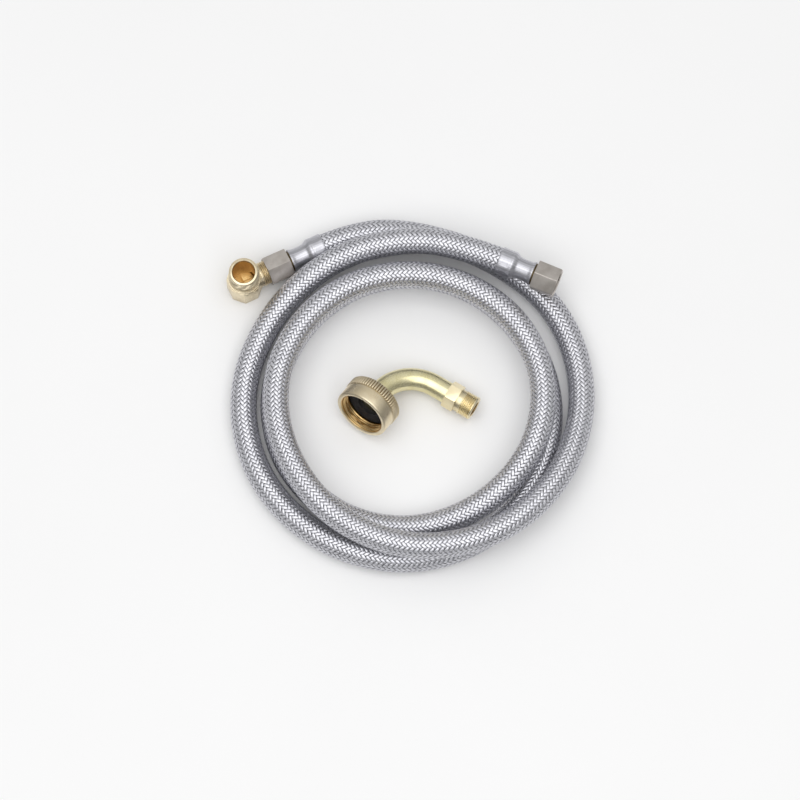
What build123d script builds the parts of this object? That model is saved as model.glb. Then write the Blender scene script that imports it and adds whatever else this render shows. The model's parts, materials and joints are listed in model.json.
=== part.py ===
from build123d import *
import math
import os

# Braided water supply line, lying coiled, with its brass hose-thread elbow loose in the coil.
# Millimetres, +Z up. The origin is the centre of the footprint, on the surface it lies on.

# Hose
BRAID_R = 7.5  # outside of the woven sleeve
TUBE_R = 6.7  # outside of the inner tube, inside of the sleeve
HOSE_BORE_R = 4.75
ARC_SHARE = 0.45  # share of the shorter run that each corner's arc takes up
STATION_STEP = 30.0  # degrees between stations of the coil

# Route of the hose: (radius, height) of each station, clockwise from 90 degrees, one row a turn.
COIL_CENTRE = (1.45, 0.9)
TURN_1 = [(96.2, 7.5), (93.6, 7.5), (98.2, 7.5), (99.5, 8.5), (100.3, 18), (99.8, 23.6),
          (96.2, 23), (90, 23), (83.8, 23), (80.7, 23), (75.5, 23), (71.3, 23)]
TURN_2 = [(68.2, 23), (68.8, 23), (72.4, 23), (76.5, 23), (79.1, 24), (80.1, 17.5),
          (82.2, 8.5), (84.8, 7.5), (85.3, 7.5), (82.2, 7.5), (77, 7.5), (73.9, 7.5)]
TURN_3 = [(72.4, 7.5), (71.9, 7.5), (73.9, 7.5), (79.6, 7.5), (86.9, 7.5), (95.6, 7.5),
          (100.8, 7.5), (102.4, 7.5), (102.9, 7.5), (100.1, 7.5), (94.1, 10), (90.5, 20.5)]
TURN_4 = [(88.4, 23.5)]

# Where each end of the hose is cut, from the coil's centre, and the way its fitting points.
LEFT_CUT = (-58.3, 83.6, 9.5)
LEFT_HEADING = 205.0
LEFT_LEAD = 27.0  # straight run of hose behind the left fitting
RIGHT_CUT = (56.7, 71.2, 24.8)
RIGHT_HEADING = -23.0
RIGHT_LEAD = 24.0

# End fittings. Distances along a fitting's axis start at the cut end of the hose.
FERRULE_BACK = -8.0
FERRULE_R = 8.05
FERRULE_EDGE = 0.3  # slope of its back edge
FERRULE_SHOULDER = 0.6  # end of its big end
FERRULE_STEP = (7.4, 1.6)  # radius and distance
FERRULE_WAIST = (6.35, 3.2)
FERRULE_NECK = (5.75, 7.2)
FERRULE_LIP = (6.7, 12.6)
FERRULE_MOUTH_R = 6.1
FERRULE_GRIP = (1.3, 9.6)  # start and end of its hold on the stem
CRIMP_FLATS = 8
CRIMP_AF = 15.7
CRIMP_BAND = (-6.2, -1.4)
STEM_R = 5.2
STEM_BORE_R = 3.6
STEM_START = 0.2
STEM_BEAD_R = 6.2
STEM_BEAD = (12.75, 13.7)
STEM_FLANGE_R = 6.9
STEM_FLANGE = (17.15, 18.5)
BARBS = 4
BARBS_BACK = -12.5
BARB_PITCH = 3.0
BARB_LENGTH = 2.4
BARB_ROOT_R = 4.25
NUT_BACK = 14.0
NUT_FRONT = 28.0
NUT_AF = 15.875  # 5/8 in
NUT_WALL = 3.0
NUT_CORNER_CUT = 0.35
LEFT_NUT_TURN = 18.0  # how each nut happens to lie: degrees from a flat on top
RIGHT_NUT_TURN = 38.0
SWIVEL_GAP = 0.06  # radial running clearance
COMPRESSION_R = 7.144  # 9/16-24 thread, outside
COMPRESSION_HOLE_R = 7.19
COMPRESSION_CHAMFER = 0.5
THREAD_START = 22.0  # the nut's thread runs from here to its mouth
THREAD_RELIEF_R = 7.45
WASHER_R = 6.6
WASHER_RIM = 1.3  # thickness of the cone washer outside its cone
CONE_BASE_R = 4.5
CONE_TIP_R = 4.1

# Brass elbow on the left nut
PORT_AXIS_AT = 42.2  # along the left fitting's axis
ELBOW_AF = 19.05  # 3/4 in octagon
ELBOW_CORNER_CUT = 1.1
ELBOW_TOP = 30.0
ELBOW_SHOULDER_R = 9.1
ELBOW_SHOULDER = 0.8  # how far it stands above the octagon
PIPE_THREAD_R = 8.5  # 3/8 pipe thread, outside
PIPE_CHAMFER = 0.6
PIPE_BORE_R = 6.4
PIPE_BORE_FLOOR = 3.5  # below the waterway's axis
ELBOW_WATERWAY_R = 3.9
ELBOW_SOCKET_R = 4.8
ELBOW_SOCKET_DEPTH = 6.0
ELBOW_TIP_AT = 20.1

# Loose hose-thread elbow. Its corner is where the axes of its two legs cross.
PIPE_R = 6.35
PIPE_BORE = 5.15
BEND_R = 24.0
LEG_ANGLE = 85.7  # between the two legs' directions of flow
CORNER = (-6.2, 16.2)  # from the coil's centre
MALE_HEADING = -31.5
NUT_LEG = 41.8  # corner to the mouth of the nut
MALE_LEG = 48.4
COLLAR_AF = 14.29  # 9/16 in
COLLAR_LENGTH = 7.0
COLLAR_CORNER_CUT = 0.5
TUBE_STOP = 2.0  # from the tube's end to the collar's front face
MALE_THREAD = 8.0
MALE_NECK = 2.8
MALE_NECK_DEPTH = 0.55
MALE_BORE_R = 4.6
RIM_R = 16.75
BAND_R = 16.3  # plain band in front of the rim
BAND_STEP = (7.0, 7.6)  # from the nut's back face, the slope from the rim down to the band
BAND_EDGE = 0.5
SWIVEL_DEPTH = 16.0
SWIVEL_WALL = 3.4
SWIVEL_BACK_R = 13.55
SWIVEL_BEVEL = 1.6  # from the nut's back face to its full radius
SWIVEL_GROOVE_R = 13.9
SWIVEL_GROOVE = 5.4
GARDEN_HOLE_R = 13.5  # 3/4-11.5 garden hose thread
FLANGE_R = 11.5
FLANGE_THICK = 1.8
FLAT_WASHER_THICK = 3.0
FLAT_WASHER_R = 13.0
FLAT_WASHER_HOLE_R = 7.0
JOINT_GAP = 0.3  # between faces that turn past each other

CORNER_CUT_SLOPE = 0.6  # how far along a bar its corners are cut, over how deep
PAST = 1.0  # a cutting bar runs this far past the face it cuts
BITE = 0.5  # and pieces that are joined reach this far into each other
COLLAR_DROP = COLLAR_AF / 2  # height of the male leg's axis when a flat of its collar is down


def resting_tilt():
    """Degrees the loose elbow tips about its male leg until the back edge of its nut lies down."""
    edge = NUT_LEG - SWIVEL_DEPTH + SWIVEL_BEVEL
    slope = math.atan2(RIM_R, edge) - math.asin(COLLAR_DROP / math.hypot(edge, RIM_R))
    return math.degrees(math.asin(math.sin(slope) / math.sin(math.radians(LEG_ANGLE))))


def heading(degrees):
    return Vector(math.cos(math.radians(degrees)), math.sin(math.radians(degrees)), 0)


def from_coil(x, y, z):
    return Vector(COIL_CENTRE[0] + x, COIL_CENTRE[1] + y, z)


def hose_route():
    """Corner points of the hose, from its cut end in the left fitting to that in the right one."""
    left = from_coil(*LEFT_CUT)
    right = from_coil(*RIGHT_CUT)
    points = [left, left - heading(LEFT_HEADING) * LEFT_LEAD]
    for i, (radius, height) in enumerate(TURN_1 + TURN_2 + TURN_3 + TURN_4):
        angle = math.radians(90 - STATION_STEP * i)
        points.append(from_coil(radius * math.cos(angle), radius * math.sin(angle), height))
    points += [right - heading(RIGHT_HEADING) * RIGHT_LEAD, right]
    return points


def corner_radii(points):
    """Radius of each corner's arc: as large as its two runs allow."""
    radii = []
    for before, here, after in zip(points, points[1:], points[2:]):
        turn = math.radians((here - before).get_angle(after - here))
        run = min((here - before).length, (after - here).length)
        radii.append(ARC_SHARE * run / math.tan(turn / 2))
    return radii


def tube_along(path, outer, inner):
    """Round tube along a path."""
    ring = Plane(path @ 0, z_dir=path % 0) * (Circle(outer) - Circle(inner))
    return sweep(ring, path=path)


def turned(profile):
    """Solid turned about Z from (radius, distance) points."""
    outline = Polyline(*[(radius, 0, along) for radius, along in profile], close=True)
    return revolve(make_face(outline), Axis.Z, 360)


def rod(radius, start, end):
    """Solid round bar along Z."""
    return Pos(0, 0, (start + end) / 2) * Cylinder(radius, end - start)


def threaded_bar(radius, start, end, chamfer):
    """Solid bar along Z with the outside radius of its thread and a chamfered end."""
    return turned([(0, start), (radius, start), (radius, end - chamfer), (radius - chamfer, end), (0, end)])


def corner_radius(across_flats, sides):
    return across_flats / 2 / math.cos(math.pi / sides)


def polygon_bar(across_flats, sides, start, end, turn=0.0):
    """Bar of regular polygon section along Z, with a flat facing +X before it is turned."""
    section = RegularPolygon(corner_radius(across_flats, sides), sides)
    outline = Plane.XY.offset(start) * Rot(0, 0, 180 / sides + turn) * section
    return extrude(outline, end - start)


def rounded_ends(bar, radius, start, end, cut):
    """Cuts the corners of a polygon bar's ends back to a cone. Radius is to the bar's corners."""
    slope = cut * CORNER_CUT_SLOPE
    cone = turned([(0, start), (radius - cut, start), (radius, start + slope),
                   (radius, end - slope), (radius - cut, end), (0, end)])
    return bar & cone


def make_ferrule():
    """Stepped crimp ferrule: grips the braid, necks down to the stem and flares at the nut."""
    step_r, step = FERRULE_STEP
    waist_r, waist = FERRULE_WAIST
    neck_r, neck = FERRULE_NECK
    lip_r, front = FERRULE_LIP
    grip_start, grip_end = FERRULE_GRIP
    big_end = Polyline((BRAID_R, 0, FERRULE_BACK), (FERRULE_R, 0, FERRULE_BACK + FERRULE_EDGE),
                       (FERRULE_R, 0, FERRULE_SHOULDER), (step_r, 0, step), (waist_r, 0, waist))
    flare = Spline((waist_r, 0, waist), (neck_r, 0, neck), (lip_r, 0, front))
    inside = Polyline((lip_r, 0, front), (FERRULE_MOUTH_R, 0, front), (STEM_R, 0, grip_end),
                      (STEM_R, 0, grip_start), (BRAID_R, 0, 0), (BRAID_R, 0, FERRULE_BACK))
    shell = revolve(make_face([*big_end.edges(), *flare.edges(), *inside.edges()]), Axis.Z, 360)
    crimp = polygon_bar(CRIMP_AF, CRIMP_FLATS, *CRIMP_BAND)
    band = rod(FERRULE_R + PAST, *CRIMP_BAND) - crimp
    return shell - band


def make_insert():
    """Barbed stem with a bead behind the nut and a flange that holds the nut on."""
    profile = [(STEM_BORE_R, BARBS_BACK)]
    for i in range(BARBS):
        start = BARBS_BACK + BARB_PITCH * i
        profile += [(BARB_ROOT_R, start), (HOSE_BORE_R, start + BARB_LENGTH)]
    bead_back, bead_front = STEM_BEAD
    flange_back, flange_front = STEM_FLANGE
    profile += [(BARB_ROOT_R, 0), (BARB_ROOT_R, STEM_START), (STEM_R, STEM_START), (STEM_R, bead_back),
                (STEM_BEAD_R, bead_back), (STEM_BEAD_R, bead_front), (STEM_R, bead_front),
                (STEM_R, flange_back), (STEM_FLANGE_R, flange_back), (STEM_FLANGE_R, flange_front),
                (STEM_BORE_R, flange_front)]
    return turned(profile)


def make_hex_nut(turn):
    """Compression nut, free to turn on the stem behind its flange."""
    bar = polygon_bar(NUT_AF, 6, NUT_BACK, NUT_FRONT, turn)
    nut = rounded_ends(bar, corner_radius(NUT_AF, 6), NUT_BACK, NUT_FRONT, NUT_CORNER_CUT)
    wall = NUT_BACK + NUT_WALL
    nut -= rod(STEM_R + SWIVEL_GAP, NUT_BACK - PAST, wall + PAST)
    nut -= rod(THREAD_RELIEF_R, wall, THREAD_START)
    nut -= rod(COMPRESSION_HOLE_R, THREAD_START - PAST, NUT_FRONT + PAST)
    return nut


def make_cone_washer():
    """Rubber seal with a cone that enters the mating fitting."""
    back = STEM_FLANGE[1]
    rim_front = back + WASHER_RIM
    return turned([(STEM_BORE_R, back), (WASHER_R, back), (WASHER_R, rim_front), (CONE_BASE_R, rim_front),
                   (CONE_TIP_R, THREAD_START), (STEM_BORE_R, THREAD_START)])


def make_pipe_elbow():
    """Brass elbow: octagonal body, male pipe port up, compression leg along the hose's axis."""
    axis_height = LEFT_CUT[2]
    body_top = 2 * axis_height
    body = polygon_bar(ELBOW_AF, 8, 0, body_top)
    body = rounded_ends(body, corner_radius(ELBOW_AF, 8), 0, body_top, ELBOW_CORNER_CUT)
    shoulder = rod(ELBOW_SHOULDER_R, body_top - BITE, body_top + ELBOW_SHOULDER)
    port = threaded_bar(PIPE_THREAD_R, axis_height, ELBOW_TOP, PIPE_CHAMFER)
    leg_length = PORT_AXIS_AT - ELBOW_TIP_AT
    to_leg = Pos(0, 0, axis_height) * Rot(0, 90, 0)
    leg = to_leg * threaded_bar(COMPRESSION_R, 0, leg_length, COMPRESSION_CHAMFER)
    elbow = body + shoulder + port + leg
    elbow -= rod(PIPE_BORE_R, axis_height - PIPE_BORE_FLOOR, ELBOW_TOP + PAST)
    elbow -= to_leg * rod(ELBOW_WATERWAY_R, 0, leg_length + PAST)
    elbow -= to_leg * rod(ELBOW_SOCKET_R, leg_length - ELBOW_SOCKET_DEPTH, leg_length + PAST)
    return elbow


def fitting_place(cut, way):
    """Moves a fitting, built along Z from the hose's cut end, to where it sits on the hose."""
    return Plane(from_coil(*cut), x_dir=(0, 0, 1), z_dir=heading(way))


def elbow_place():
    """Moves the pipe elbow, built with its leg along X and its port up, to the left fitting."""
    foot = from_coil(*LEFT_CUT) + heading(LEFT_HEADING) * PORT_AXIS_AT
    return Plane((foot.X, foot.Y, 0), x_dir=-heading(LEFT_HEADING), z_dir=(0, 0, 1))


def adapter_place():
    """Corner of the loose elbow: X along its male leg, both legs in the XY plane."""
    corner = from_coil(*CORNER, COLLAR_DROP)
    flat = Plane(corner, x_dir=heading(MALE_HEADING), z_dir=(0, 0, 1))
    return flat * Rot(-resting_tilt(), 0, 0)


def nut_leg_direction():
    """Way from the swivel nut to the corner, in the adapter's own frame."""
    return Vector(math.cos(math.radians(LEG_ANGLE)), math.sin(math.radians(LEG_ANGLE)), 0)


def male_leg_frame():
    return Plane((0, 0, 0), x_dir=(0, 0, 1), z_dir=(1, 0, 0))


def nut_leg_frame():
    """Z runs out of the nut's mouth, from the corner."""
    return Plane((0, 0, 0), x_dir=(0, 0, 1), z_dir=-nut_leg_direction())


def make_adapter_tube():
    """Bent brass tube with the flange that holds the swivel nut on."""
    flange_back = NUT_LEG - SWIVEL_DEPTH + SWIVEL_WALL + JOINT_GAP / 2
    flange_front = flange_back + FLANGE_THICK
    start = -nut_leg_direction() * flange_front
    end = Vector(MALE_LEG - MALE_THREAD - MALE_NECK - TUBE_STOP, 0, 0)
    path = FilletPolyline(start, (0, 0, 0), end, radius=BEND_R)
    tube = tube_along(path, PIPE_R, PIPE_BORE)
    flange = rod(FLANGE_R, flange_back, flange_front) - rod(PIPE_BORE, 0, NUT_LEG)
    return tube + nut_leg_frame() * flange


def make_adapter_male_end():
    """Hexagon collar brazed on the tube, with a compression thread at its end."""
    thread_start = MALE_LEG - MALE_THREAD
    collar_end = thread_start - MALE_NECK
    collar_start = collar_end - COLLAR_LENGTH
    collar = polygon_bar(COLLAR_AF, 6, collar_start, collar_end, turn=resting_tilt())
    collar = rounded_ends(collar, corner_radius(COLLAR_AF, 6), collar_start, collar_end, COLLAR_CORNER_CUT)
    neck = rod(COMPRESSION_R - MALE_NECK_DEPTH, collar_end - BITE, thread_start + BITE)
    thread = threaded_bar(COMPRESSION_R, thread_start, MALE_LEG, COMPRESSION_CHAMFER)
    end = collar + neck + thread
    end -= rod(MALE_BORE_R, collar_start, MALE_LEG + PAST)
    end -= rod(PIPE_R, collar_start - PAST, collar_end - TUBE_STOP)
    return male_leg_frame() * end


def make_adapter_swivel_nut():
    """Garden-hose nut, free to turn on the tube behind its flange."""
    back = NUT_LEG - SWIVEL_DEPTH
    inner_wall = back + SWIVEL_WALL
    groove_end = inner_wall + SWIVEL_GROOVE
    rim_end, band_start = BAND_STEP
    nut = turned([(0, back), (SWIVEL_BACK_R, back), (RIM_R, back + SWIVEL_BEVEL), (RIM_R, back + rim_end),
                  (BAND_R, back + band_start), (BAND_R, NUT_LEG - BAND_EDGE),
                  (BAND_R - BAND_EDGE, NUT_LEG), (0, NUT_LEG)])
    nut -= rod(PIPE_R + SWIVEL_GAP, back - PAST, inner_wall + PAST)
    nut -= rod(SWIVEL_GROOVE_R, inner_wall, groove_end)
    nut -= rod(GARDEN_HOLE_R, groove_end - BITE, NUT_LEG + PAST)
    return nut_leg_frame() * nut


def make_adapter_washer():
    """Flat rubber washer in front of the tube's flange."""
    start = NUT_LEG - SWIVEL_DEPTH + SWIVEL_WALL + JOINT_GAP + FLANGE_THICK
    end = start + FLAT_WASHER_THICK
    washer = rod(FLAT_WASHER_R, start, end) - rod(FLAT_WASHER_HOLE_R, start - PAST, end + PAST)
    return nut_leg_frame() * washer


def make_nodes():
    route = hose_route()
    radii = corner_radii(route)
    path = FilletPolyline(*route, radius=radii)
    print("hose arc radii", [round(r, 1) for r in radii])
    print("smallest", round(min(radii) / (2 * BRAID_R), 2), "diameters; length", round(path.length, 1))
    nodes = {}
    for name, outer, inner in (("hose_braid", BRAID_R, TUBE_R), ("hose_inner_tube", TUBE_R, HOSE_BORE_R)):
        nodes[name] = tube_along(path, outer, inner)
        swept = math.pi * (outer**2 - inner**2) * path.length
        print(name, "volume over section times length", round(nodes[name].volume / swept, 5))
    ends = {
        "left": (fitting_place(LEFT_CUT, LEFT_HEADING), LEFT_NUT_TURN),
        "right": (fitting_place(RIGHT_CUT, RIGHT_HEADING), RIGHT_NUT_TURN),
    }
    for side, (place, nut_turn) in ends.items():
        nodes[side + "_ferrule"] = place * make_ferrule()
        nodes[side + "_insert"] = place * make_insert()
        nodes[side + "_hex_nut"] = place * make_hex_nut(nut_turn)
        nodes[side + "_cone_washer"] = place * make_cone_washer()
    nodes["pipe_elbow"] = elbow_place() * make_pipe_elbow()
    adapter = adapter_place()
    nodes["adapter_tube"] = adapter * make_adapter_tube()
    nodes["adapter_male_end"] = adapter * make_adapter_male_end()
    nodes["adapter_swivel_nut"] = adapter * make_adapter_swivel_nut()
    nodes["adapter_washer"] = adapter * make_adapter_washer()
    return nodes


def main():
    os.makedirs("parts", exist_ok=True)
    for name, shape in make_nodes().items():
        export_step(shape, "parts/" + name + ".step")


main()
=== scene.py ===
"""Braided water supply line, lying coiled, with its brass hose-thread elbow loose in the coil."""
import json
import math

import bmesh
import bpy
import numpy as np
from mathutils import Matrix, Vector

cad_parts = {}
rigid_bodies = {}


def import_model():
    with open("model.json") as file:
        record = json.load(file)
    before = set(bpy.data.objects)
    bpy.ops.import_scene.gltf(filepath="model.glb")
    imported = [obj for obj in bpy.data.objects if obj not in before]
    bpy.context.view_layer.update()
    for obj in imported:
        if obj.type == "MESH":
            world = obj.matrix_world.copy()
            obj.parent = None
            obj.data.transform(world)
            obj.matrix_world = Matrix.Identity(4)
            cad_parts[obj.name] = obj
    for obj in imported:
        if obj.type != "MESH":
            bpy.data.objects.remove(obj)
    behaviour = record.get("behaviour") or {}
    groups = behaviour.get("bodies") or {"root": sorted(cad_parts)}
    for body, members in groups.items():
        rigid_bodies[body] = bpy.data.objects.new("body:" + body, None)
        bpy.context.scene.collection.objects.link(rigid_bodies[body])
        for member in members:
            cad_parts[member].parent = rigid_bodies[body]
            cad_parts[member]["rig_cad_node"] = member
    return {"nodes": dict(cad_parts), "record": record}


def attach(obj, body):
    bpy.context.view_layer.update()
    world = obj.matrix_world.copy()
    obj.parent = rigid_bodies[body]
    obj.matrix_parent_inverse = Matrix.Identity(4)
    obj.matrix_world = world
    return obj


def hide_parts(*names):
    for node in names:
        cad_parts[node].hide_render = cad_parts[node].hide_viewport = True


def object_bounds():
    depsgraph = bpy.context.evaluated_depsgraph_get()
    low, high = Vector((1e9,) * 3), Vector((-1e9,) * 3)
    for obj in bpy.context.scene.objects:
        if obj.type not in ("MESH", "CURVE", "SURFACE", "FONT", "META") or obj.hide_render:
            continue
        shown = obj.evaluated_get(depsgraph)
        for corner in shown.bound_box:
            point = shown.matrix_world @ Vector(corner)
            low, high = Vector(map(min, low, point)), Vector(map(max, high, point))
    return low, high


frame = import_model()
cad_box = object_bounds()

# Route of the hose: (radius, height) of each station, clockwise from 90 degrees, one row a turn
COIL_CENTRE = (0.00145, 0.0009)
STATION_STEP = 30.0
TURN_1 = [(0.0962, 0.0075), (0.0936, 0.0075), (0.0982, 0.0075), (0.0995, 0.0085), (0.1003, 0.018),
          (0.0998, 0.0236), (0.0962, 0.023), (0.09, 0.023), (0.0838, 0.023), (0.0807, 0.023),
          (0.0755, 0.023), (0.0713, 0.023)]
TURN_2 = [(0.0682, 0.023), (0.0688, 0.023), (0.0724, 0.023), (0.0765, 0.023), (0.0791, 0.024),
          (0.0801, 0.0175), (0.0822, 0.0085), (0.0848, 0.0075), (0.0853, 0.0075), (0.0822, 0.0075),
          (0.077, 0.0075), (0.0739, 0.0075)]
TURN_3 = [(0.0724, 0.0075), (0.0719, 0.0075), (0.0739, 0.0075), (0.0796, 0.0075), (0.0869, 0.0075),
          (0.0956, 0.0075), (0.1008, 0.0075), (0.1024, 0.0075), (0.1029, 0.0075), (0.1001, 0.0075),
          (0.0941, 0.01), (0.0905, 0.0205)]
TURN_4 = [(0.0884, 0.0235)]
LEFT_CUT = (-0.0583, 0.0836, 0.0095)
LEFT_HEADING = 205.0
LEFT_LEAD = 0.027
RIGHT_CUT = (0.0567, 0.0712, 0.0248)
RIGHT_HEADING = -23.0
RIGHT_LEAD = 0.024
ROUTE_RESOLUTION = 64

# Hose
LINER_R = 0.00668
LINER_BORE_R = 0.00475
LINER_CORNERS = 24
LINER_STEP = 4  # points of the centreline from one ring of the liner to the next
STRANDS = 18  # each way round
LOZENGE = 0.00271  # length of one lozenge of the weave, along the hose
WEAVE_R = 0.00703
WEAVE_RISE = 0.00026
WEAVE_FLATNESS = 1.3  # how abruptly a strand dives under the next two
STRAND_WIDTH = 0.00184
STRAND_SHOULDER = 0.72  # flat share of a strand's width
STRAND_CROWN = 0.0002
STRAND_UNDERSIDE = 0.00014
STRAND_ACROSS = [-1, -STRAND_SHOULDER, STRAND_SHOULDER, 1, 0]  # corners of a strand, in half widths
STRAND_WIRES = 6
BRAID_PIECES = 3  # each way round

# Threads: (pitch, depth), with flats at their outer and inner radius in shares of a pitch
COMPRESSION_THREAD = (0.001058, 0.00058)
PIPE_THREAD = (0.001411, 0.00085)
GARDEN_THREAD = (0.002209, 0.0012)
THREAD_OUTER_FLAT = 0.1304
THREAD_INNER_FLAT = 0.1739
THREAD_STEPS = 10  # rings in one pitch
THREAD_FADE = 1.6  # share of its depth that a thread gains in one pitch from either end

# How pieces are meshed
TURNED_CORNERS = 128
CONE_CORNERS = 192
NUT_BORE_CORNERS = 96
TOOTH_CORNERS = 6
SHARP_ANGLE = 40.0  # between two faces, from which their edge is sharp
SWIVEL_SHARP_ANGLE = 50.0
FERRULE_SHARP_ANGLE = 60.0
ALL_SMOOTH = 180.0
CORNER_CUT = 0.00045  # depth of the cone that cuts a bar's corners back
CORNER_SLOPE = 0.6  # length of that cone over its depth
EDGE = 0.00022  # width of an eased edge
EDGE_SEGMENTS = 2
EDGE_ANGLE = 35.0
PAST = 0.001  # how far a tool or a joined part runs past the surface that it meets
UNMOVED = Matrix.Identity(4)

# End fittings. (radius, distance) along a fitting's axis, from the cut end of the hose outward.
FERRULE_OUTSIDE = [(0.00752, -0.008), (0.00785, -0.0079), (0.00803, -0.0076), (0.00803, -0.0066)]
FERRULE_SHOULDER = [(0.00794, -0.0012), (0.00808, -0.0007), (0.00814, -0.0001), (0.00806, 0.0005),
                    (0.0077, 0.0011), (0.0073, 0.0018), (0.0069, 0.0023), (0.0066, 0.0028), (0.00642, 0.0034)]
FERRULE_NECK = (0.00605, 0.0072)
FERRULE_NECK_RINGS = 12
FERRULE_LIP = [(0.0063, 0.0107), (0.0066, 0.0114), (0.00685, 0.0121), (0.00692, 0.0124), (0.00688, 0.0127),
               (0.0067, 0.0129), (0.00645, 0.0128), (0.0062, 0.0124)]
FERRULE_INSIDE = [(0.00522, 0.0096), (0.00522, 0.0013), (0.00752, 0.0)]
CRIMP_FLATS = 8
CRIMP_R = 0.00786
CRIMP_BAND = (-0.0062, -0.0014)
CRIMP_FADE = 0.0008
CRIMP_RINGS = 9
STREAK_SEED = 3
NUT_SIDES = 6
NUT_AF = 0.015875
NUT_BACK = 0.014
NUT_FRONT = 0.028
NUT_WALL_END = NUT_BACK + 0.003
NUT_STEM_HOLE_R = 0.00526
NUT_RELIEF_R = 0.00745
NUT_THREAD_START = 0.022
NUT_THREAD_R = 0.00719
NUT_HOLE = [(NUT_STEM_HOLE_R, NUT_BACK - PAST), (NUT_STEM_HOLE_R, NUT_WALL_END),
            (NUT_RELIEF_R, NUT_WALL_END), (NUT_RELIEF_R, NUT_THREAD_START)]
NUT_MOUTH = [(NUT_THREAD_R, NUT_FRONT - 0.0004), (NUT_THREAD_R + 0.0005, NUT_FRONT),
             (NUT_THREAD_R + 0.0005, NUT_FRONT + PAST)]
LEFT_NUT_TURN = 18.0
RIGHT_NUT_TURN = 38.0

# Brass elbow on the left nut, standing on the floor. (radius, height) up its port's axis.
ELBOW_SIDES = 8
ELBOW_AF = 0.01905
ELBOW_AXIS_HEIGHT = 0.0095
ELBOW_BODY_TOP = 0.019
ELBOW_TOP = 0.030
ELBOW_TOP_CONE = [(0.01033, 0.0146), (0.00975, 0.0163), (0.00955, 0.0163), (0.00925, 0.0176),
                  (0.00905, 0.0176), (0.00885, 0.019)]
SHOULDER_R = 0.0088
SHOULDER_TOP = 0.0198
PIPE_R = 0.0085
PIPE_NECK_R = PIPE_R - 0.0012
PIPE_BORE_R = 0.0064
PIPE_FOOT = [(SHOULDER_R, ELBOW_BODY_TOP - PAST), (SHOULDER_R, SHOULDER_TOP - 0.0003),
             (SHOULDER_R - 0.0003, SHOULDER_TOP), (PIPE_NECK_R, SHOULDER_TOP),
             (PIPE_NECK_R, SHOULDER_TOP + 0.0005)]
PIPE_THREAD_SPAN = (SHOULDER_TOP + 0.0007, ELBOW_TOP - 0.0009)
PIPE_TIP = [(PIPE_R, ELBOW_TOP - 0.0008), (PIPE_R - 0.0004, ELBOW_TOP - 0.0002), (PIPE_R - 0.0007, ELBOW_TOP)]
PIPE_BORE = [(PIPE_BORE_R, 0.006), (PIPE_BORE_R, ELBOW_TOP - 0.0004), (PIPE_BORE_R + 0.0004, ELBOW_TOP),
             (PIPE_BORE_R + 0.0004, ELBOW_TOP + PAST)]

# Its compression leg. (radius, distance) from the port's axis towards the hose.
LEG_R = 0.007144
LEG_NECK_R = LEG_R - 0.0004
LEG_START = ELBOW_AF / 2
LEG_END = 0.0221
LEG_BORE_R = 0.0039
SOCKET_R = 0.0048
SOCKET_START = LEG_END - 0.006
LEG_NECK = [(LEG_NECK_R, 0.0), (LEG_NECK_R, LEG_START + 0.0008)]
LEG_THREAD_SPAN = (LEG_START + 0.001, LEG_END - 0.0006)
LEG_TIP = [(LEG_R - 0.0005, LEG_END)]
LEG_BORE = [(LEG_BORE_R, 0.0), (LEG_BORE_R, SOCKET_START), (SOCKET_R, SOCKET_START),
            (SOCKET_R, LEG_END + PAST)]

# Nut of the loose elbow. (radius, distance) from its mouth, with its back below zero.
SWIVEL_BACK = -0.016
SWIVEL_R = 0.01675
SWIVEL_BAND_R = 0.0163
SWIVEL_WAIST_R = SWIVEL_BAND_R - 0.0004
SWIVEL_HOLE_R = 0.00641
SWIVEL_THREAD_R = 0.0135
SWIVEL_GROOVE_R = 0.0139
SWIVEL_WALL_END = SWIVEL_BACK + 0.0034
SWIVEL_GROOVE_END = SWIVEL_WALL_END + 0.0054
SWIVEL_REAR = [(SWIVEL_HOLE_R, SWIVEL_BACK), (0.0128, SWIVEL_BACK), (0.0135, SWIVEL_BACK + 0.0001),
               (0.0152, SWIVEL_BACK + 0.0008), (0.0161, SWIVEL_BACK + 0.0013)]
SWIVEL_BAND = [(SWIVEL_WAIST_R, SWIVEL_BACK + 0.0072), (SWIVEL_WAIST_R, SWIVEL_BACK + 0.0077),
               (SWIVEL_BAND_R, SWIVEL_BACK + 0.008), (SWIVEL_BAND_R, -0.0007),
               (SWIVEL_BAND_R - 0.0002, -0.0002), (SWIVEL_BAND_R - 0.0006, 0)]
SWIVEL_LIP = [(SWIVEL_THREAD_R + 0.0007, 0), (SWIVEL_THREAD_R + 0.0002, -0.0004)]
SWIVEL_THREAD_SPAN = (-0.0007, SWIVEL_GROOVE_END + 0.0002)
SWIVEL_THREAD_SHADE_SPAN = (SWIVEL_GROOVE_END, -0.0005)  # where its hollows are darkened
SWIVEL_INSIDE = [(SWIVEL_GROOVE_R, SWIVEL_GROOVE_END), (SWIVEL_GROOVE_R, SWIVEL_WALL_END),
                 (SWIVEL_HOLE_R, SWIVEL_WALL_END)]
KNURL_SPAN = (SWIVEL_BACK + 0.0016, SWIVEL_BACK + 0.007)
KNURL_TEETH = 64
KNURL_DEPTH = 0.0006
KNURL_RIDGE = 0.35  # flat share of a tooth
KNURL_REAR_CONE = (0.0004, 0.0004)  # length, depth
KNURL_FRONT_CONE = (0.0002, 0.0003)

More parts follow.
